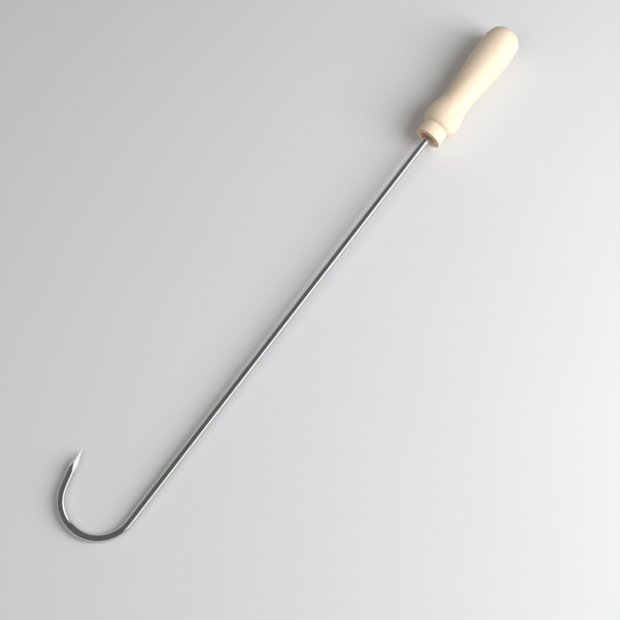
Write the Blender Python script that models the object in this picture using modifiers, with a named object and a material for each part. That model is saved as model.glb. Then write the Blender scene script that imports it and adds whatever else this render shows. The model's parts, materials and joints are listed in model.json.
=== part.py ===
"""A butcher's hand hook, lying on a table as it is put down after use.

A round stainless bar is bent into an open hook at one end and ground there to a
four-sided point. Its other end, the tang, sits in the blind bore of a turned wooden
handle and is held by cast resin, which shows as a small bead at the bore's mouth.

Every piece is drawn in the tool's own frame: X runs along the bar from the hook to the
handle, Y from the bar towards the point, and X = 0 is the front face of the collar.
An empty then lays the tool down, on the handle's belly and on the back of the bend.
"""

import math

import bmesh
import bpy
from mathutils import Matrix, Vector

MM = 0.001

# Driving dimensions
OVERALL_LENGTH = 500 * MM  # back of the bend to the butt of the handle
BAR_RADIUS = 3 * MM
HANDLE_LENGTH = 110.3 * MM
BEND_RADIUS = 26.8 * MM  # to the middle of the bar
BEND_SWEEP = math.radians(164)
LEG_LENGTH = 29.8 * MM  # the straight run from the end of the bend to the point
POINT_LENGTH = 12 * MM  # the ground point, measured along its ridges
POINT_OFFSET = 0.9 * MM  # the point is ground towards the inside of the hook
TIP_RADIUS = 0.12 * MM  # what is left of the bar at the very tip
CLEARANCE = 0.3 * MM  # between pieces that touch on the real tool

# The tang and the bore
TANG_LENGTH = 80 * MM
KEY_GROOVES = (20 * MM, 40 * MM, 60 * MM)  # filed round the tang to key the resin
KEY_WIDTH = 3 * MM
KEY_DEPTH = 0.6 * MM
RESIN_WALL = 0.4 * MM
RESIN_IN = BAR_RADIUS + CLEARANCE
RESIN_OUT = RESIN_IN + RESIN_WALL
BORE_RADIUS = RESIN_OUT + CLEARANCE
BORE_DEPTH = TANG_LENGTH + RESIN_WALL + 2 * CLEARANCE
DRILL_POINT = math.radians(31)  # the slope of the cone that a drill leaves
MOUTH_RADIUS = 5 * MM
MOUTH_DEPTH = 1 * MM
BEAD_HEIGHT = 0.7 * MM
BEAD_RADIUS = MOUTH_RADIUS - CLEARANCE

# The handle's outline
FACE_RADIUS = 9.9 * MM
COLLAR_RADIUS = 10.5 * MM
COLLAR_END_RADIUS = 10.1 * MM
COLLAR_LENGTH = 10.6 * MM
BELLY_PLACE = 21 * MM
BELLY_RADIUS = 13.8 * MM
WAIST_PLACE = 36.8 * MM
WAIST_RADIUS = 11.45 * MM
SWELL_PLACE = 87 * MM
SWELL_RADIUS = 14.1 * MM
DOME_LENGTH = 14 * MM
DOME_RADIUS = 13.65 * MM
DOME_SQUARENESS = 2.35  # 2 would be an ellipse

# Fineness of the faceted solids
BAR_BEVEL = 10  # 4 + 2 * 10 sides
BEND_STEPS = 32
HANDLE_STEPS = 48
RESIN_STEPS = 32


def remove_everything():
    for old in list(bpy.data.objects):
        bpy.data.objects.remove(old, do_unlink=True)


def collection(name):
    made = bpy.data.collections.new(name)
    bpy.context.scene.collection.children.link(made)
    return made


def material(name, colour, roughness, metallic=0.0):
    made = bpy.data.materials.new(name)
    made.use_nodes = True
    shader = made.node_tree.nodes["Principled BSDF"]
    shader.inputs["Base Color"].default_value = (*colour, 1.0)
    shader.inputs["Roughness"].default_value = roughness
    shader.inputs["Metallic"].default_value = metallic
    return made


def add_object(name, data, group, parent, finish=None):
    made = bpy.data.objects.new(name, data)
    group.objects.link(made)
    made.parent = parent
    if finish:
        data.materials.append(finish)
    return made


def smooth(mesh, angle=math.radians(35)):
    mesh.shade_smooth()
    mesh.set_sharp_from_angle(angle=angle)


def bar_route():
    """The bar's centreline, from the end of the tang to beyond the point."""
    bend_x = HANDLE_LENGTH - OVERALL_LENGTH + BAR_RADIUS + BEND_RADIUS
    route = [Vector((TANG_LENGTH, 0, 0)), Vector((0, 0, 0))]
    for step in range(BEND_STEPS + 1):
        turn = BEND_SWEEP * step / BEND_STEPS
        route.append(
            Vector((bend_x - BEND_RADIUS * math.sin(turn), BEND_RADIUS * (1 - math.cos(turn)), 0))
        )
    along_leg = Vector((-math.cos(BEND_SWEEP), math.sin(BEND_SWEEP), 0))
    leg_end = route[-1] + along_leg * LEG_LENGTH
    waste = BAR_RADIUS  # ground away with the facets
    route.append(leg_end + along_leg * waste)
    return route, leg_end, along_leg


def bar_mesh(route):
    """A round bar along the route, with welded caps."""
    curve = bpy.data.curves.new("bar_route", "CURVE")
    curve.dimensions = "3D"
    curve.bevel_depth = BAR_RADIUS
    curve.bevel_resolution = BAR_BEVEL
    curve.use_fill_caps = True
    spline = curve.splines.new("POLY")
    spline.points.add(len(route) - 1)
    half_side = math.radians(180) / (4 + 2 * BAR_BEVEL)
    for point, place in zip(spline.points, route):
        point.co = (*place, 1)
        point.tilt = half_side  # the point's ridges then start on sides, not on corners
    guide = bpy.data.objects.new("bar_route", curve)
    bpy.context.scene.collection.objects.link(guide)
    evaluated = guide.evaluated_get(bpy.context.evaluated_depsgraph_get())
    mesh = bpy.data.meshes.new_from_object(evaluated)
    bpy.data.objects.remove(guide)
    shape = bmesh.new()
    shape.from_mesh(mesh)
    bmesh.ops.remove_doubles(shape, verts=shape.verts, dist=1e-6)
    bmesh.ops.recalc_face_normals(shape, faces=shape.faces)
    shape.to_mesh(mesh)
    shape.free()
    return mesh


def turned(name, outline, steps, group, parent, finish=None):
    """A piece turned about the bar's axis. The outline is a list of (place along X, radius)."""
    mesh = bpy.data.meshes.new(name)
    shape = bmesh.new()
    corners = [shape.verts.new((radius, 0, place)) for place, radius in outline]
    if outline[0][1] > 0:  # a ring, whose outline closes on itself
        corners.append(corners[0])
    for first, second in zip(corners, corners[1:]):
        shape.edges.new((first, second))
    shape.to_mesh(mesh)
    shape.free()
    piece = add_object(name, mesh, group, parent, finish)
    piece.rotation_euler = (0, math.radians(90), 0)
    screw = piece.modifiers.new("turn", "SCREW")
    screw.axis = "Z"
    screw.steps = steps
    screw.render_steps = steps
    screw.use_merge_vertices = True
    screw.merge_threshold = 1e-6
    screw.use_smooth_shade = True
    return piece


def cut(piece, cutter):
    cutter.hide_render = True
    cutter.display_type = "WIRE"
    boolean = piece.modifiers.new(cutter.name, "BOOLEAN")
    boolean.operation = "DIFFERENCE"
    boolean.object = cutter


def grinding_block(leg_end, along_leg, group, parent):
    """A block with a four-sided pit, which leaves the ground point when it is cut from the bar."""
    inward = Vector((along_leg.y, -along_leg.x, 0))
    shoulder = leg_end - along_leg * POINT_LENGTH
    point = leg_end + inward * POINT_OFFSET
    aim = (point - shoulder).normalized()
    axes = Matrix((Vector((0, 0, 1)), aim.cross(Vector((0, 0, 1))), aim)).transposed().to_4x4()
    pit_length = 2 * POINT_LENGTH
    ridge_slope = BAR_RADIUS / POINT_LENGTH

    mesh = bpy.data.meshes.new("point_form")
    shape = bmesh.new()
    bmesh.ops.create_cone(
        shape,
        cap_ends=True,
        segments=4,
        radius1=TIP_RADIUS + pit_length * ridge_slope,
        radius2=TIP_RADIUS,
        depth=pit_length,
    )
    shape.to_mesh(mesh)
    shape.free()
    form = add_object("point_form", mesh, group, parent)
    form.matrix_local = Matrix.Translation(point - aim * pit_length / 2) @ axes

    beyond_tip = 2 * BAR_RADIUS
    width = pit_length + beyond_tip - CLEARANCE  # its back lies just inside the pit's mouth
    mesh = bpy.data.meshes.new("grinding_block")
    shape = bmesh.new()
    bmesh.ops.create_cube(shape, size=width)
    shape.to_mesh(mesh)
    shape.free()
    block = add_object("grinding_block", mesh, group, parent)
    block.matrix_local = Matrix.Translation(point + aim * (beyond_tip - width / 2)) @ axes
    cut(block, form)
    return block


def hook_bar(group, cutters, parent, steel):
    """The bar: tang, shank, bend, leg and ground point, all one piece of steel."""
    route, leg_end, along_leg = bar_route()
    bar = add_object("hook_bar", bar_mesh(route), group, parent, steel)
    cut(bar, grinding_block(leg_end, along_leg, cutters, parent))
    for number, middle in enumerate(KEY_GROOVES):
        near, far = middle - KEY_WIDTH / 2, middle + KEY_WIDTH / 2
        bottom, top = BAR_RADIUS - KEY_DEPTH, BAR_RADIUS + KEY_DEPTH
        ring = [(far, bottom), (far, top), (near, top), (near, bottom)]
        name = f"key_groove_{number + 1}"
        cut(bar, turned(name, ring, RESIN_STEPS, cutters, parent))
    smooth(bar.data)
    return bar


def curve_between(start, end, steps):
    """Points from start to end, each (place, radius, slope), on a cubic curve. The end is left out."""
    (x0, r0, slope0), (x1, r1, slope1) = start, end
    span = x1 - x0
    for step in range(steps):
        t = step / steps
        blend = 3 * t**2 - 2 * t**3
        lift = slope0 * (t**3 - 2 * t**2 + t) + slope1 * (t**3 - t**2)
        yield x0 + span * t, r0 + (r1 - r0) * blend + span * lift


def handle_outside():
    """The outside of the handle, from the collar's face to the middle of the butt."""
    chamfer = COLLAR_RADIUS - FACE_RADIUS
    outline = [(0, FACE_RADIUS)]
    collar_front = (chamfer / 2, COLLAR_RADIUS - chamfer / 2, 0.12)
    collar_back = (COLLAR_LENGTH, COLLAR_END_RADIUS, -0.16)
    outline += curve_between(collar_front, collar_back, 5)
    shoulder_steps = 8
    for step in range(shoulder_steps):
        turn = math.radians(90) * step / shoulder_steps
        rise = (BELLY_RADIUS - COLLAR_END_RADIUS) * math.sin(turn)
        reach = (BELLY_PLACE - COLLAR_LENGTH) * (1 - math.cos(turn))
        outline.append((COLLAR_LENGTH + reach, COLLAR_END_RADIUS + rise))
    belly = (BELLY_PLACE, BELLY_RADIUS, 0)
    waist = (WAIST_PLACE, WAIST_RADIUS, 0)
    swell = (SWELL_PLACE, SWELL_RADIUS, 0)
    dome_start = HANDLE_LENGTH - DOME_LENGTH
    outline += curve_between(belly, waist, 6)
    outline += curve_between(waist, swell, 11)
    outline += curve_between(swell, (dome_start, DOME_RADIUS, -0.1), 3)
    dome_steps = 12
    for step in range(dome_steps + 1):
        turn = math.radians(90) * step / dome_steps
        reach = DOME_LENGTH * math.sin(turn) ** (2 / DOME_SQUARENESS)
        radius = DOME_RADIUS * max(0.0, math.cos(turn)) ** (2 / DOME_SQUARENESS)
        outline.append((dome_start + reach, radius))
    outline[-1] = (HANDLE_LENGTH, 0)
    return outline


def handle(group, parent, wood):
    """The turned handle, with the tang's bore drilled from the collar's face."""
    bore = [
        (0, MOUTH_RADIUS),
        (MOUTH_DEPTH, BORE_RADIUS),
        (BORE_DEPTH, BORE_RADIUS),
        (BORE_DEPTH + BORE_RADIUS * math.tan(DRILL_POINT), 0),
    ]
    outline = handle_outside()[::-1] + bore
    return turned("handle", outline, HANDLE_STEPS, group, parent, wood)


def resin(group, parent, amber):
    """The cast resin round the tang: a cup with ribs in the key grooves and a bead at its mouth."""
    end = TANG_LENGTH + CLEARANCE
    bead_root = MOUTH_DEPTH - CLEARANCE
    outline = [
        (end + RESIN_WALL, 0),
        (end + RESIN_WALL, RESIN_OUT),
        (bead_root + BEAD_HEIGHT, RESIN_OUT),
        (0, BEAD_RADIUS),
    ]
    bead_steps = 5
    for step in range(1, bead_steps + 1):
        turn = math.radians(90) * step / bead_steps
        radius = RESIN_IN + (BEAD_RADIUS - RESIN_IN) * math.cos(turn)
        outline.append((-BEAD_HEIGHT * math.sin(turn), radius))
    rib_radius = RESIN_IN - KEY_DEPTH
    rib_half = KEY_WIDTH / 2 - CLEARANCE
    for middle in KEY_GROOVES:
        outline += [
            (middle - rib_half, RESIN_IN),
            (middle - rib_half, rib_radius),
            (middle + rib_half, rib_radius),
            (middle + rib_half, RESIN_IN),
        ]
    outline += [(end, RESIN_IN), (end, 0)]
    return turned("tang_resin", outline, RESIN_STEPS, group, parent, amber)


def lay_down(lie, pieces):
    """Tips the tool until belly and bend share a level, then centres it over the origin."""
    bend_back = HANDLE_LENGTH - OVERALL_LENGTH + BAR_RADIUS
    tilt = math.asin((BELLY_RADIUS - BAR_RADIUS) / (BELLY_PLACE - bend_back))
    lie.rotation_euler = (0, -tilt, 0)
    bpy.context.view_layer.update()
    graph = bpy.context.evaluated_depsgraph_get()
    places = []
    for piece in pieces:
        solid = piece.evaluated_get(graph)
        places += [solid.matrix_world @ corner.co for corner in solid.data.vertices]
    low = [min(place[axis] for place in places) for axis in range(3)]
    high = [max(place[axis] for place in places) for axis in range(3)]
    lie.location = (-(low[0] + high[0]) / 2, -(low[1] + high[1]) / 2, -low[2])


def main():
    remove_everything()
    parts = collection("meat_hook")
    cutters = collection("cutters")
    lie = bpy.data.objects.new("lie", None)
    parts.objects.link(lie)
    steel = material("stainless_steel", (0.62, 0.62, 0.61), 0.18, 1.0)
    wood = material("beech", (0.80, 0.62, 0.42), 0.42)
    amber = material("resin", (0.55, 0.26, 0.10), 0.3)
    pieces = [
        hook_bar(parts, cutters, lie, steel),
        handle(parts, lie, wood),
        resin(parts, lie, amber),
    ]
    lay_down(lie, pieces)


main()
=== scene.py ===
"""The looks of the butcher's hand hook: bar, resin and turned handle, on a pale table in soft light.

Every piece is drawn in the tool's own frame, as in the CAD model: X runs along the bar from the hook to
the handle, Y from the bar towards the point, and X = 0 is the front face of the collar. The record's
mount says where that frame lies. Lengths are in metres.
"""

import json
import math

import bpy
import numpy as np
from mathutils import Matrix, Vector, noise


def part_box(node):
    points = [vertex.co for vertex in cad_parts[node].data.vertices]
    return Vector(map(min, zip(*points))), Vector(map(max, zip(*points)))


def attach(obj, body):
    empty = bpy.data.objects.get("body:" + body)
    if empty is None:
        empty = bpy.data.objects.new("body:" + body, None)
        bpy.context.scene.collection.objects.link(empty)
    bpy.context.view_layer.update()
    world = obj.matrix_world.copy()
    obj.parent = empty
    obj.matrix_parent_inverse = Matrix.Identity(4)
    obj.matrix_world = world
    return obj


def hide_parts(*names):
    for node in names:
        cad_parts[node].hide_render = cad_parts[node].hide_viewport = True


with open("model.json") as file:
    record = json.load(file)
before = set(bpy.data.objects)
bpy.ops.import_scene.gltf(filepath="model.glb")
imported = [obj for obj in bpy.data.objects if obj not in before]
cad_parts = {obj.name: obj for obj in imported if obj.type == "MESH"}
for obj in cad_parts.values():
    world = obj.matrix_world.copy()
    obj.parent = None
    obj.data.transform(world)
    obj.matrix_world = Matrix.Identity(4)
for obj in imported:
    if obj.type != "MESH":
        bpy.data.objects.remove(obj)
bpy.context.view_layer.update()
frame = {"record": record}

MM = 0.001
HAIR = 0.04 * MM  # how far the flats of the CAD model lie inside its round surfaces, at the most
SKIN = 0.02 * MM  # left between the resin and what it grips

# The bar
OVERALL_LENGTH = 500 * MM
BAR_RADIUS = 3 * MM
BEND_RADIUS = 26.8 * MM
BEND_SWEEP = math.radians(164)
BEND_LENGTH = BEND_RADIUS * BEND_SWEEP
LEG_LENGTH = 29.8 * MM
POINT_LENGTH = 12 * MM
POINT_OFFSET = 0.9 * MM
POINT_CORNERS = (45, 135, 225, 315)  # the way each facet faces, in degrees from the inside of the hook
EDGE_SHARPNESS = 60  # how tightly the facets meet each other and the round bar
TIP_RADIUS = 0.12 * MM
ROUND_TIP = 2 * TIP_RADIUS  # the length over which the very tip is rounded
GRIND_FADE = 0.04 * MM  # the depth of metal taken off at which the bar looks fully ground
TANG_LENGTH = 80 * MM
KEY_GROOVES = (20 * MM, 40 * MM, 60 * MM)
KEY_WIDTH = 3 * MM
KEY_DEPTH = 0.6 * MM
BAR_SIDES = 96

# The handle
HANDLE_LENGTH = 110.3 * MM
BEND_PLACE = HANDLE_LENGTH - OVERALL_LENGTH + BAR_RADIUS + BEND_RADIUS
STRAIGHT_LENGTH = TANG_LENGTH - BEND_PLACE
FACE_RADIUS = 9.9 * MM
COLLAR_ROUNDING = 0.6 * MM  # at the edge between the collar's face and its side
COLLAR_RADIUS = 10.5 * MM
COLLAR_END_RADIUS = 10.1 * MM
COLLAR_END_SLOPE = -0.14
COLLAR_LENGTH = 10.6 * MM
FILLET = 1.0 * MM  # along the collar, where the shoulder rises out of it
SHOULDER_STEPS = 28
FILLET_STEPS = 7  # the first steps of the shoulder, which the fillet takes the place of
BELLY_PLACE = 21 * MM
BELLY_RADIUS = 13.8 * MM
WAIST_PLACE = 36.8 * MM
WAIST_RADIUS = 11.45 * MM
SWELL_PLACE = 87 * MM
SWELL_RADIUS = 14.1 * MM
DOME_LENGTH = 14 * MM
DOME_RADIUS = 13.65 * MM
DOME_SQUARENESS = 2.35
BORE_RADIUS = 4 * MM
BORE_DEPTH = 81 * MM
DRILL_POINT = math.radians(31)
MOUTH_RADIUS = 5 * MM
MOUTH_DEPTH = 1 * MM
SANDING = 0.03 * MM  # how deep the sanding went on average
HANDLE_SIDES = 160

# The resin
BEAD_HEIGHT = 0.7 * MM
BEAD_RADIUS = 4.7 * MM
BEAD_UNEVENNESS = 0.18 * MM
RESIN_SIDES = 96

# The camera, which looks down at the table from the side of the hook. The lens and the sensor are in mm.
CAMERA_LENS = 87.1
CAMERA_SENSOR = 36
CAMERA_TILT = math.radians(19.36)
CAMERA_HEADING = math.radians(53.6)
CAMERA_DISTANCE = 1096.3 * MM
CAMERA_TARGET = Vector((-19.0 * MM, -30.5 * MM, 0))

# The lights fall on the table and the tool, and the cards show only in gloss, as bright lines on the steel.
# Each is: turn from the picture's right and rise above the table, in degrees, distance from the middle of
# the picture, width and height, radiance, and colour.
LIGHTS = {
    "window": (-12, 38, 1.15, (0.62, 1.05), 7.9, (0.965, 0.985, 1.0)),
    "wall": (-15, 21, 1.15, (2.65, 0.82), 0.6, (1.0, 0.97, 0.93)),
    "fill": (210, 60, 1.2, (0.9, 0.9), 1.46, (0.99, 0.96, 0.91)),
}
CARDS = {
    "card": (-2, 25, 0.95, (2.3, 0.78), 1.3, (1.0, 1.0, 0.98)),
    "high_card": (34, 41, 0.95, (0.6, 0.36), 1.2, (1.0, 1.0, 0.98)),
    "far_card": (122, 11, 1.0, (1.5, 0.42), 0.5, (1.0, 1.0, 1.0)),
}
ROOM_COLOUR = (1.0, 0.93, 0.87, 1)
ROOM_STRENGTH = 0.15
TABLE_REACH = 3.0


def tool_frame():
    """The matrix from the tool's own frame to the row frame, from the mount on the collar's face."""
    mount = next(m for m in frame["record"]["mounts"] if m["name"] == "collar_face")
    along = -Vector(mount["axis"]).normalized()
    across = Vector((0, 1, 0))
    up = along.cross(across)
    low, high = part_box("handle")
    place = Vector(mount["pos_m"])
    place.y = (low.y + high.y) / 2
    return Matrix.Translation(place) @ Matrix((along, across, up)).transposed().to_4x4()


TOOL = tool_frame()


def smoothstep(value, start, end):
    """0 at start and before it, 1 at end and past it, and a smooth rise between them."""
    share = min(1.0, max(0.0, (value - start) / (end - start)))
    return share * share * (3 - 2 * share)


def quarter_turn(steps):
    """Angles from 0 to 90 degrees, both ends among them."""
    return [math.radians(90) * step / steps for step in range(steps + 1)]


def add_piece(name, points, faces, attributes, finish, node):
    """A mesh piece in the row frame, which stands for a CAD node. attributes: name to one value a point."""
    mesh = bpy.data.meshes.new(name)
    mesh.from_pydata([TOOL @ Vector(point) for point in points], [], faces)
    for key, values in attributes.items():
        kind = "FLOAT_VECTOR" if np.ndim(values) == 2 else "FLOAT"
        layer = mesh.attributes.new(key, kind, "POINT")
        field = "vector" if kind == "FLOAT_VECTOR" else "value"
        layer.data.foreach_set(field, np.asarray(values, np.float32).ravel())
    mesh.validate()
    mesh.shade_smooth()
    mesh.materials.append(finish)
    piece = bpy.data.objects.new(name, mesh)
    bpy.context.scene.collection.objects.link(piece)
    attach(piece, "root")
    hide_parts(node)
    return piece


def ring_faces(rings, sides, first_pole, last_pole):
    """Quads between rings of points, and a fan of triangles at each pole. The rings run along +X."""
    faces = []
    for ring in range(rings - 1):
        for side in range(sides):
            after = (side + 1) % sides
            here, there = ring * sides, (ring + 1) * sides
            faces.append((here + side, here + after, there + after, there + side))
    last = (rings - 1) * sides
    for side in range(sides):
        after = (side + 1) % sides
        faces.append((first_pole, after, side))
        faces.append((last_pole, last + side, last + after))
    return faces


# Materials


class Nodes:
    """A short way to write a material's node tree."""

    def __init__(self, name):
        self.material = bpy.data.materials.new(name)
        self.material.use_nodes = True
        self.tree = self.material.node_tree
        self.shader = self.tree.nodes["Principled BSDF"]

    def node(self, kind, inputs=(), **settings):
        """A new node, with its settings made and its inputs set or linked."""
        made = self.tree.nodes.new(kind)
        for key, value in settings.items():
            setattr(made, key, value)
        for key, value in dict(inputs).items():
            self.put(made.inputs[key], value)
        return made

    def put(self, socket, value):
        """Links the socket to another node's output, or sets it to a constant."""
        if isinstance(value, bpy.types.NodeSocket):
            self.tree.links.new(value, socket)
        else:
            socket.default_value = value

    def place(self, attribute):
        """The place stored at each point of the mesh under this name."""
        return self.node("ShaderNodeAttribute", attribute_name=attribute).outputs["Vector"]

    def value(self, attribute):
        """The number stored at each point of the mesh under this name."""
        return self.node("ShaderNodeAttribute", attribute_name=attribute).outputs["Fac"]

    def stretched(self, vector, scale, offset=(0, 0, 0)):
        """The place scaled along each axis, then moved by the offset."""
        inputs = {"Vector": vector, "Scale": scale, "Location": offset}
        return self.node("ShaderNodeMapping", inputs).outputs["Vector"]

    def noise(self, vector, scale=1.0, detail=3, roughness=0.5):
        """Soft noise from 0 to 1."""
        inputs = {"Vector": vector, "Scale": scale, "Detail": detail, "Roughness": roughness}
        return self.node("ShaderNodeTexNoise", inputs).outputs["Fac"]

    def range(self, value, low, high, to_low, to_high, smooth=False):
        """The value carried over from one range to another, and held at that range's ends."""
        made = self.node(
            "ShaderNodeMapRange",
            {"Value": value, "From Min": low, "From Max": high, "To Min": to_low, "To Max": to_high},
        )
        if smooth:
            made.interpolation_type = "SMOOTHSTEP"
        return made.outputs["Result"]

    def math(self, operation, first, second):
        """Two numbers added, subtracted or multiplied."""
        made = self.node("ShaderNodeMath", operation=operation)
        self.put(made.inputs[0], first)
        self.put(made.inputs[1], second)
        return made.outputs["Value"]

    def mix(self, share, first, second):
        """A blend of two colours. Its sockets are numbered, because others have the same names."""
        made = self.node("ShaderNodeMix", data_type="RGBA")
        self.put(made.inputs["Factor"], share)
        self.put(made.inputs[6], first)
        self.put(made.inputs[7], second)
        return made.outputs[2]

    def bump(self, height, distance):
        """A surface with fine relief, as deep as distance where height goes from 0 to 1."""
        inputs = {"Height": height, "Distance": distance, "Strength": 1.0}
        return self.node("ShaderNodeBump", inputs).outputs["Normal"]

    def set(self, **sockets):
        """Sets or links the shader's inputs, whose names are written with _ for a space."""
        for key, value in sockets.items():
            self.put(self.shader.inputs[key.replace("_", " ")], value)


def beech():
    """Pale turned beech: ring lines about a pith off to one side, fibre along the handle, and dark flecks."""
    made = Nodes("turned_beech")
    place = made.place("wood_place")
    end_grain = made.value("end_grain")
    stain = made.value("resin_stain")

    wander = made.noise(made.stretched(place, (12, 55, 55)), detail=2)
    bent = made.node("ShaderNodeVectorMath", {0: place}, operation="ADD")
    shift = made.node("ShaderNodeCombineXYZ", {"Y": made.range(wander, 0, 1, -0.004, 0.004)})
    made.put(bent.inputs[1], shift.outputs["Vector"])
    pith = made.stretched(bent.outputs["Vector"], (1, 1, 1), (0, 0.031, 0.044))
    wave = made.node(
        "ShaderNodeTexWave",
        {"Vector": pith, "Scale": 72, "Distortion": 0.6, "Detail": 2, "Detail Scale": 30},
        wave_type="RINGS",
        rings_direction="X",
        wave_profile="SAW",
    )
    ring = made.range(wave.outputs["Fac"], 0.55, 1.0, 0, 1, smooth=True)
    fibre = made.noise(made.stretched(place, (45, 1500, 1500)), detail=4, roughness=0.6)
    fleck = made.noise(made.stretched(place, (420, 3400, 1900)), detail=1)
    fleck = made.range(fleck, 0.63, 0.72, 0, 1, smooth=True)
    cloud = made.noise(made.stretched(place, (14, 40, 40)), detail=2)

    pale = (0.85, 0.70, 0.53, 1)
    late = (0.74, 0.59, 0.425, 1)
    colour = made.mix(made.math("MULTIPLY", ring, 0.45), pale, late)
    colour = made.mix(made.range(fibre, 0.35, 0.75, 0, 0.35), colour, (0.70, 0.555, 0.395, 1))
    colour = made.mix(made.math("MULTIPLY", fleck, 0.28), colour, (0.50, 0.34, 0.20, 1))
    colour = made.mix(made.range(cloud, 0.35, 0.7, 0, 0.22), colour, (0.86, 0.755, 0.61, 1))
    colour = made.mix(made.math("MULTIPLY", end_grain, 0.35), colour, (0.52, 0.38, 0.24, 1))
    colour = made.mix(made.math("MULTIPLY", stain, 0.6), colour, (0.40, 0.22, 0.10, 1))

    gloss = made.range(fibre, 0.3, 0.7, 0.46, 0.56)
    gloss = made.math("ADD", gloss, made.math("MULTIPLY", end_grain, 0.15))
    turning = made.noise(made.stretched(place, (1900, 20, 20)), detail=2)
    height = made.math("ADD", made.math("MULTIPLY", fibre, 0.7), made.math("MULTIPLY", turning, 0.5))
    height = made.math("SUBTRACT", height, made.math("MULTIPLY", fleck, 0.3))
    made.set(
        Base_Color=colour,
        Roughness=gloss,
        Normal=made.bump(height, 0.03 * MM),
        Specular_IOR_Level=0.35,
        Coat_Weight=0.05,
        Coat_Roughness=0.3,
    )
    return made.material


def stainless():
    """Bright stainless steel: drawing lines along the bar, and a wheel's lines across the ground point."""
    made = Nodes("bright_stainless")
    place = made.place("bar_place")
    ground = made.value("ground")
    drawn = made.noise(made.stretched(place, (25, 5200, 5200)), detail=3, roughness=0.6)
    wheel = made.noise(made.stretched(place, (5200, 500, 500)), detail=2, roughness=0.6)
    smear = made.noise(made.stretched(place, (35, 260, 260)), detail=3)
    lines = made.node("ShaderNodeMix", {"Factor": ground, "A": drawn, "B": wheel}).outputs["Result"]
    gloss = made.range(smear, 0.3, 0.7, 0.11, 0.16)
    gloss = made.math("ADD", gloss, made.range(lines, 0.3, 0.7, -0.015, 0.03))
    gloss = made.math("ADD", gloss, made.math("MULTIPLY", ground, 0.1))
    colour = made.mix(smear, (0.62, 0.65, 0.66, 1), (0.68, 0.71, 0.72, 1))
    made.set(
        Base_Color=colour,
        Metallic=1.0,
        Roughness=gloss,
        Normal=made.bump(lines, 0.004 * MM),
    )
    return made.material


def amber():
    """Cloudy amber resin with a clear, shiny skin."""
    made = Nodes("amber_resin")
    place = made.place("resin_place")
    cloud = made.noise(place, 900, detail=2)
    colour = made.mix(cloud, (0.30, 0.12, 0.035, 1), (0.46, 0.22, 0.08, 1))
    made.set(
        Base_Color=colour,
        Roughness=made.range(cloud, 0.3, 0.7, 0.2, 0.32),
        Normal=made.bump(cloud, 0.05 * MM),
        Coat_Weight=0.4,
        Coat_Roughness=0.12,
    )
    return made.material


# The bar


def route_point(distance):
    """Place and heading on the bar's centreline, at a distance from the end of the tang."""
    turn = min(BEND_SWEEP, max(0.0, (distance - STRAIGHT_LENGTH) / BEND_RADIUS))
    heading = Vector((-math.cos(turn), math.sin(turn), 0))
    if distance <= STRAIGHT_LENGTH:
        return Vector((TANG_LENGTH - distance, 0, 0)), heading
    along = BEND_PLACE - BEND_RADIUS * math.sin(turn)
    across = BEND_RADIUS * (1 - math.cos(turn))
    after_bend = max(0.0, distance - STRAIGHT_LENGTH - BEND_LENGTH)
    return Vector((along, across, 0)) + heading * after_bend, heading


def bar_stations():
    """Distances from the end of the tang at which the bar gets a ring of points, and its whole length."""
    bend_end = STRAIGHT_LENGTH + BEND_LENGTH
    total = bend_end + LEG_LENGTH
    facets = total - 1.7 * POINT_LENGTH
    stations = [0.0]
    for groove in KEY_GROOVES[::-1]:
        middle = TANG_LENGTH - groove
        for edge in (middle - KEY_WIDTH / 2, middle + KEY_WIDTH / 2):
            stations += [edge - SKIN, edge + SKIN]
    stretches = [
        (TANG_LENGTH, STRAIGHT_LENGTH, 60),
        (STRAIGHT_LENGTH, bend_end, 100),
        (bend_end, facets, 6),
        (facets, total - ROUND_TIP, 110),
    ]
    for start, end, rings in stretches:
        stations += list(np.linspace(start, end, rings, endpoint=False))
    stations += list(total - ROUND_TIP * np.cos(np.linspace(0, math.pi / 2, 6))[:-1])
    return stations, total


def point_section(before_tip, angle):
    """How far the ground point reaches at one angle, its ring's shift inwards, and the depth ground off.

    The point is a pyramid of four facets on an axis that leans inwards. before_tip is the distance back
    from the tip, and the angle is 0 on the inside of the hook and 90 degrees on its upper side.
    """
    lean = POINT_OFFSET * (1 - before_tip / POINT_LENGTH)
    shift = max(lean, 0.0)
    wall = (TIP_RADIUS + before_tip * BAR_RADIUS / POINT_LENGTH) * math.cos(math.radians(45))
    round_reach = -shift * math.cos(angle) + math.sqrt(BAR_RADIUS**2 - (shift * math.sin(angle)) ** 2)
    total = round_reach**-EDGE_SHARPNESS
    for corner in POINT_CORNERS:
        facing = math.cos(angle - math.radians(corner))
        if facing > 0.05:  # a facet on the far side doesn't cut here
            facet = (wall + (lean - shift) * math.cos(math.radians(corner))) / facing
            total += facet**-EDGE_SHARPNESS
    reach = total ** (-1 / EDGE_SHARPNESS)
    return reach, shift, round_reach - reach


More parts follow.
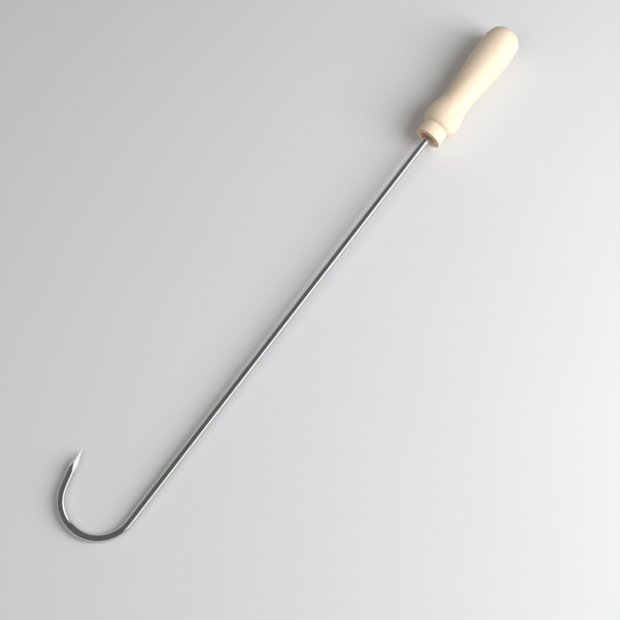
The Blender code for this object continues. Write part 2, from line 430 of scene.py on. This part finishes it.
def build_bar():
    """The whole bar as one skin of rings, with its key grooves, bend and ground point."""
    stations, length = bar_stations()
    points, places, ground = [], [], []
    up = Vector((0, 0, 1))
    for distance in stations:
        centre, heading = route_point(distance)
        inside = Vector((heading.y, -heading.x, 0))
        before_tip = length - distance
        place = TANG_LENGTH - distance
        in_groove = any(abs(place - groove) < KEY_WIDTH / 2 for groove in KEY_GROOVES)
        for side in range(BAR_SIDES):
            angle = 2 * math.pi * side / BAR_SIDES
            reach, shift, ground_off = BAR_RADIUS, 0.0, 0.0
            if in_groove:
                reach -= KEY_DEPTH
            if before_tip < 2 * POINT_LENGTH:
                reach, shift, ground_off = point_section(before_tip, angle)
            reach -= HAIR * min(1.0, before_tip / POINT_LENGTH)
            if before_tip < ROUND_TIP:
                share = 1 - before_tip / ROUND_TIP
                reach *= math.sqrt(max(0.0, 1 - share**2))
            outward = inside * math.cos(angle) + up * math.sin(angle)
            points.append(centre + inside * shift + outward * reach)
            places.append((distance, reach * math.cos(angle), reach * math.sin(angle)))
            ground.append(smoothstep(ground_off, 0, GRIND_FADE))
    first_pole = len(points)
    points.append(route_point(0)[0])
    tip, heading = route_point(length)
    points.append(tip + Vector((heading.y, -heading.x, 0)) * POINT_OFFSET)
    places += [(0, 0, 0), (length, 0, 0)]
    ground += [0, 1]
    faces = ring_faces(len(stations), BAR_SIDES, first_pole, first_pole + 1)
    attributes = {"bar_place": places, "ground": ground}
    return add_piece("bar", points, faces, attributes, stainless(), "hook_bar")


# The handle


def curve_between(start, end, steps):
    """Points from start to end, each (place, radius, slope), on a cubic curve. The end is left out."""
    (x0, r0, slope0), (x1, r1, slope1) = start, end
    span = x1 - x0
    for step in range(steps):
        t = step / steps
        blend = 3 * t**2 - 2 * t**3
        lift = slope0 * (t**3 - 2 * t**2 + t) + slope1 * (t**3 - t**2)
        yield x0 + span * t, r0 + (r1 - r0) * blend + span * lift


def handle_outside():
    """The outside of the handle, from the collar's face to just short of the middle of the butt."""
    outline = []
    for turn in quarter_turn(8)[:-1]:
        reach = COLLAR_ROUNDING * (1 - math.cos(turn))
        outline.append((reach, FACE_RADIUS + COLLAR_ROUNDING * (math.sin(turn) - 0.1)))
    collar_start = (COLLAR_ROUNDING, COLLAR_RADIUS - 0.1 * COLLAR_ROUNDING, 0.04)
    fillet_radius = COLLAR_END_RADIUS - COLLAR_END_SLOPE * FILLET
    fillet_start = (COLLAR_LENGTH - FILLET, fillet_radius, COLLAR_END_SLOPE)
    outline += curve_between(collar_start, fillet_start, 20)
    shoulder = []
    for turn in quarter_turn(SHOULDER_STEPS)[FILLET_STEPS:-1]:
        rise = (BELLY_RADIUS - COLLAR_END_RADIUS) * math.sin(turn)
        reach = (BELLY_PLACE - COLLAR_LENGTH) * (1 - math.cos(turn))
        shoulder.append((COLLAR_LENGTH + reach, COLLAR_END_RADIUS + rise))
    (x0, r0), (x1, r1) = shoulder[:2]
    outline += curve_between(fillet_start, (x0, r0, (r1 - r0) / (x1 - x0)), 14)
    outline += shoulder
    belly = (BELLY_PLACE, BELLY_RADIUS, 0)
    waist = (WAIST_PLACE, WAIST_RADIUS, 0)
    swell = (SWELL_PLACE, SWELL_RADIUS, 0)
    dome_start = HANDLE_LENGTH - DOME_LENGTH
    outline += curve_between(belly, waist, 32)
    outline += curve_between(waist, swell, 70)
    outline += curve_between(swell, (dome_start, DOME_RADIUS, -0.1), 16)
    for turn in quarter_turn(48)[:-1]:
        reach = (DOME_LENGTH - HAIR) * math.sin(turn) ** (2 / DOME_SQUARENESS)
        radius = DOME_RADIUS * math.cos(turn) ** (2 / DOME_SQUARENESS)
        outline.append((dome_start + reach, radius))
    return outline


def turned_points(outline, sides, lost=None):
    """Rings of points about the bar's axis, from (place, radius) pairs. lost is what is worn off where."""
    points = []
    for place, radius in outline:
        for side in range(sides):
            angle = 2 * math.pi * side / sides
            reach = radius - (lost(place, angle) if lost else 0.0)
            points.append(Vector((place, reach * math.cos(angle), reach * math.sin(angle))))
    return points


def hand_sanding(place, angle):
    """How far the sanding went below the turned outline, unevenly."""
    spot = Vector((place * 45, math.cos(angle) * 0.8, math.sin(angle) * 0.8))
    return SANDING * (1 + noise.noise(spot))


def handle_marks(outline):
    """How much each ring of the handle shows end grain, and how much resin it has soaked up, from 0 to 1."""
    end_grain, stain = [], []
    for number, (place, radius) in enumerate(outline):
        before = outline[max(0, number - 1)]
        after = outline[min(len(outline) - 1, number + 1)]
        run, rise = after[0] - before[0], after[1] - before[1]
        facing = abs(rise) / max(1e-9, math.hypot(run, rise))
        end_grain.append(facing**2)
        near_mouth = smoothstep(radius, MOUTH_RADIUS + 1.5 * MM, MOUTH_RADIUS - 0.2 * MM)
        stain.append(near_mouth if place < MOUTH_DEPTH else 0)
    return end_grain, stain


def build_handle():
    """The turned wood as one skin: the bore from its end outwards, the collar's face, then the outside."""
    outside = handle_outside()
    inside = [
        (BORE_DEPTH + 0.85 * BORE_RADIUS * math.tan(DRILL_POINT), 0.15 * BORE_RADIUS),
        (BORE_DEPTH, BORE_RADIUS),
        (BORE_DEPTH / 2, BORE_RADIUS),
        (MOUTH_DEPTH, BORE_RADIUS),
        (0.15 * MM, MOUTH_RADIUS - 0.1 * MM),
        (0, MOUTH_RADIUS + 0.1 * MM),
        (0, (MOUTH_RADIUS + FACE_RADIUS) / 2),
        (0, FACE_RADIUS - 0.1 * MM),
    ]
    outline = inside + outside
    points = turned_points(inside, HANDLE_SIDES)
    points += turned_points(outside, HANDLE_SIDES, hand_sanding)
    drill_end = Vector((BORE_DEPTH + BORE_RADIUS * math.tan(DRILL_POINT), 0, 0))
    first_pole = len(points)
    points += [drill_end, Vector((HANDLE_LENGTH - HAIR, 0, 0))]
    faces = ring_faces(len(outline), HANDLE_SIDES, first_pole, first_pole + 1)
    end_grain, stain = handle_marks(outline)
    attributes = {
        "wood_place": points,
        "end_grain": [*np.repeat(end_grain, HANDLE_SIDES), 1, 1],
        "resin_stain": [*np.repeat(stain, HANDLE_SIDES), 0, 0],
    }
    return add_piece("handle_wood", points, faces, attributes, beech(), "handle")


# The resin


def build_resin():
    """The cast sleeve with its ribs, and the bead that rose out of the bore's mouth."""
    inner, outer = BAR_RADIUS + SKIN, BORE_RADIUS - SKIN
    end = TANG_LENGTH + SKIN
    inside = []
    half, rib = KEY_WIDTH / 2 - SKIN, inner - KEY_DEPTH
    for groove in KEY_GROOVES[::-1]:
        inside += [(groove + half, inner), (groove + half, rib)]
        inside += [(groove - half, rib), (groove - half, inner)]
    bead = []
    for turn in quarter_turn(14):
        radius = inner + (BEAD_RADIUS - inner) * math.sin(turn)
        bead.append((-BEAD_HEIGHT * math.cos(turn) ** 1.3, radius))
    outline = [(end, inner * 0.5), (end, inner), *inside, *bead]
    outline += [(MOUTH_DEPTH, outer), (BORE_DEPTH / 2, outer), (BORE_DEPTH - SKIN, outer)]
    outline += [(BORE_DEPTH - SKIN, outer / 2)]

    def squeezed(place, angle):
        """How far the bead falls short of its round outline."""
        if place > 0:
            return 0.0
        spot = Vector((math.cos(angle) * 1.7, math.sin(angle) * 1.7, 3.0))
        return BEAD_UNEVENNESS * (1 + noise.noise(spot)) * smoothstep(-place, 0, 0.3 * MM)

    points = turned_points(outline, RESIN_SIDES, squeezed)
    first_pole = len(points)
    points += [Vector((end, 0, 0)), Vector((BORE_DEPTH - SKIN, 0, 0))]
    faces = ring_faces(len(outline), RESIN_SIDES, first_pole, first_pole + 1)
    attributes = {"resin_place": points}
    return add_piece("resin", points, faces, attributes, amber(), "tang_resin")


# The table, the lights and the camera


def build_table():
    """A plain matt table top, far larger than the picture."""
    made = Nodes("pale_table")
    place = made.node("ShaderNodeTexCoord").outputs["Object"]
    mottle = made.noise(place, 9, detail=4)
    colour = made.mix(mottle, (0.67, 0.675, 0.685, 1), (0.69, 0.695, 0.70, 1))
    made.set(Base_Color=colour, Roughness=0.7, Specular_IOR_Level=0.25)
    mesh = bpy.data.meshes.new("table")
    reach = TABLE_REACH
    corners = [(-reach, -reach, 0), (reach, -reach, 0), (reach, reach, 0), (-reach, reach, 0)]
    mesh.from_pydata(corners, [], [(0, 1, 2, 3)])
    mesh.materials.append(made.material)
    table = bpy.data.objects.new("table", mesh)
    bpy.context.scene.collection.objects.link(table)


def picture_directions():
    """The table directions that run to the right and to the top of the picture."""
    right = Vector((math.cos(CAMERA_HEADING), -math.sin(CAMERA_HEADING), 0))
    top = Vector((math.sin(CAMERA_HEADING), math.cos(CAMERA_HEADING), 0))
    return right, top


def area_light(name, turn, rise, distance, size, radiance, colour):
    """A rectangle of light that faces the middle of the picture and sends out radiance times colour."""
    turn, rise = math.radians(turn), math.radians(rise)
    right, top = picture_directions()
    level = right * math.cos(turn) + top * math.sin(turn)
    towards = level * math.cos(rise) + Vector((0, 0, math.sin(rise)))
    lamp = bpy.data.lights.new(name, "AREA")
    lamp.shape = "RECTANGLE"
    lamp.size, lamp.size_y = size
    lamp.energy = radiance * math.pi * size[0] * size[1]
    lamp.color = colour
    box = bpy.data.objects.new(name, lamp)
    box.location = CAMERA_TARGET + towards * distance
    box.rotation_euler = (-towards).to_track_quat("-Z", "Y").to_euler()
    box.visible_camera = False
    bpy.context.scene.collection.objects.link(box)
    return box


def build_light():
    """The lights, the cards and the dim light of the room."""
    for name, settings in LIGHTS.items():
        area_light(name, *settings).visible_glossy = False
    for name, settings in CARDS.items():
        area_light(name, *settings).visible_diffuse = False
    room = bpy.data.worlds.new("room")
    room.use_nodes = True
    background = room.node_tree.nodes["Background"]
    background.inputs["Color"].default_value = ROOM_COLOUR
    background.inputs["Strength"].default_value = ROOM_STRENGTH
    bpy.context.scene.world = room


def build_camera():
    """The camera, aimed at the target, which is the middle of the picture."""
    camera = bpy.data.cameras.new("camera")
    camera.lens = CAMERA_LENS
    camera.sensor_width = CAMERA_SENSOR
    view = bpy.data.objects.new("camera", camera)
    view.rotation_euler = (CAMERA_TILT, 0, -CAMERA_HEADING)
    back = view.rotation_euler.to_matrix() @ Vector((0, 0, 1))
    view.location = CAMERA_TARGET + back * CAMERA_DISTANCE
    bpy.context.scene.collection.objects.link(view)
    bpy.context.scene.camera = view


build_bar()
build_handle()
build_resin()
build_table()
build_light()
build_camera()
bpy.context.scene.view_settings.view_transform = "Standard"
